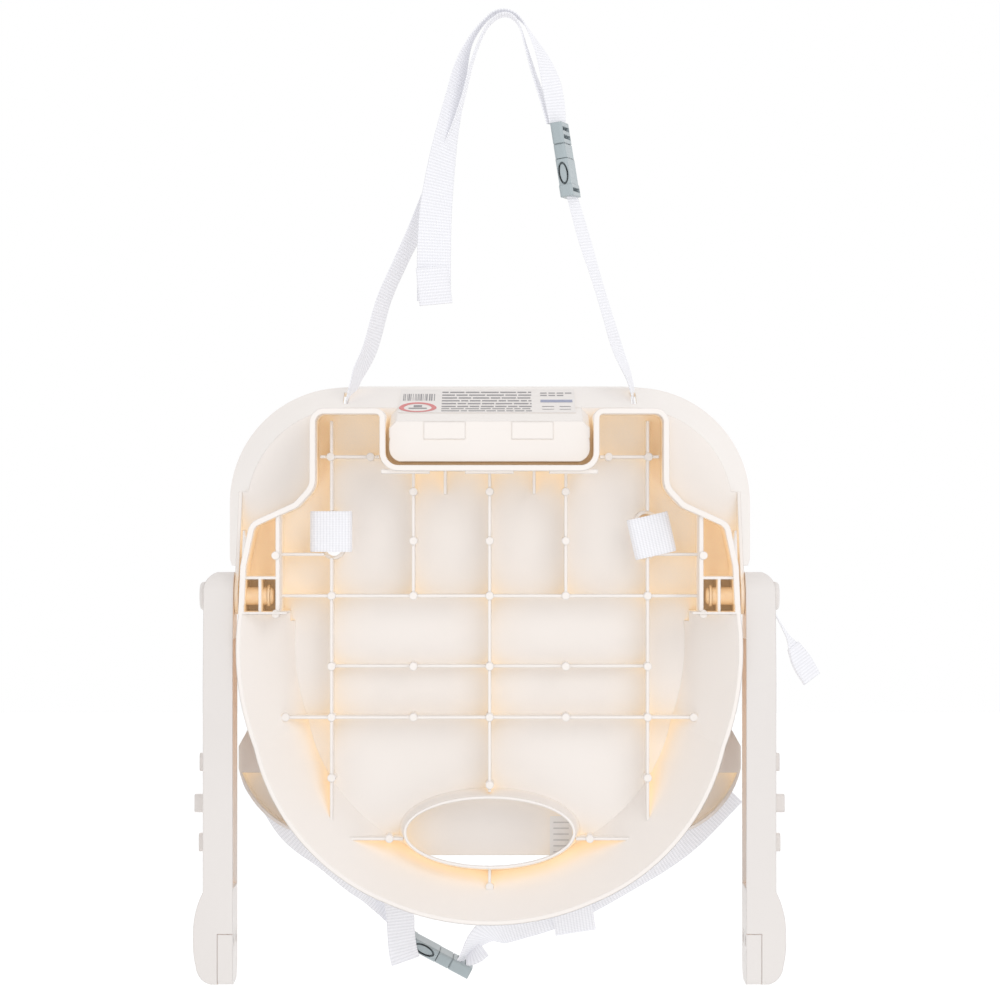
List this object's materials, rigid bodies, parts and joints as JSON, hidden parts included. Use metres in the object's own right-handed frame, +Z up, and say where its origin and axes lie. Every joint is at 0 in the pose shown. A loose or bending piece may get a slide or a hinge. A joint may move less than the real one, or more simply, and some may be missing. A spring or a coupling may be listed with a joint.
{
  "type": "baby booster seat",
  "caption": "Moulded baby dining booster seat hung by its chair strap, with a ribbed D-shaped base, wrap-round backrest, two swinging side arms and webbing straps with side-release buckles.",
  "frame": {"origin": "The point under the top of the chair strap's loop where a hook carries it, on the seat's plane of symmetry.", "axes": "+X across the seat, +Y from the flat base rim towards the sitter, +Z up the seat from its front edge to its backrest, as it hangs."},
  "size_m": [0.4408, 0.32, 0.7022],
  "materials": {
    "cream_plastic": "fine satin moulded polypropylene",
    "arm_plastic": "satin moulded polypropylene",
    "white_webbing": "woven polypropylene tape with cross ribs",
    "buckle_grey": "moulded acetal, light grey",
    "steel": "zinc plated",
    "label_film": "printed paper film"
  },
  "bodies": {
    "seat": {"seat_base": "cream_plastic", "seat_pan": "cream_plastic", "left_pivot_shaft": "cream_plastic", "right_pivot_shaft": "cream_plastic", "left_shaft_clip": "cream_plastic", "right_shaft_clip": "cream_plastic", "left_strap_loop": "white_webbing", "right_strap_loop": "white_webbing", "chair_strap_upper": "white_webbing", "chair_strap_lower": "white_webbing", "chair_strap_tail": "white_webbing", "chair_buckle_socket": "buckle_grey", "chair_buckle_plug": "buckle_grey", "harness_strap_left": "white_webbing", "harness_strap_right": "white_webbing", "harness_tail_left": "white_webbing", "harness_tail_right": "white_webbing", "harness_link": "white_webbing", "harness_side_tail": "white_webbing", "harness_buckle_socket": "buckle_grey", "harness_buckle_plug": "buckle_grey"},
    "backrest": {"backrest": "cream_plastic", "warning_label": "label_film"},
    "left_arm": {"left_arm": "arm_plastic", "left_arm_cap": "arm_plastic", "left_cap_screws": "steel", "left_hub_cover": "arm_plastic"},
    "right_arm": {"right_arm": "arm_plastic", "right_arm_cap": "arm_plastic", "right_cap_screws": "steel", "right_hub_cover": "arm_plastic"}
  },
  "joints": [
    {"name": "backrest_fold", "type": "hinge", "parent": "seat", "child": "backrest", "pos_m": [0, 0.025, -0.417], "axis": [-1, 0, 0], "range_deg": [0, 75]},
    {"name": "left_arm_swing", "type": "hinge", "parent": "backrest", "child": "left_arm", "pos_m": [0, 0.025, -0.417], "axis": [1, 0, 0], "range_deg": [0, 75]},
    {"name": "right_arm_swing", "type": "hinge", "parent": "backrest", "child": "right_arm", "pos_m": [0, 0.025, -0.417], "axis": [1, 0, 0], "range_deg": [0, 75]}
  ]
}
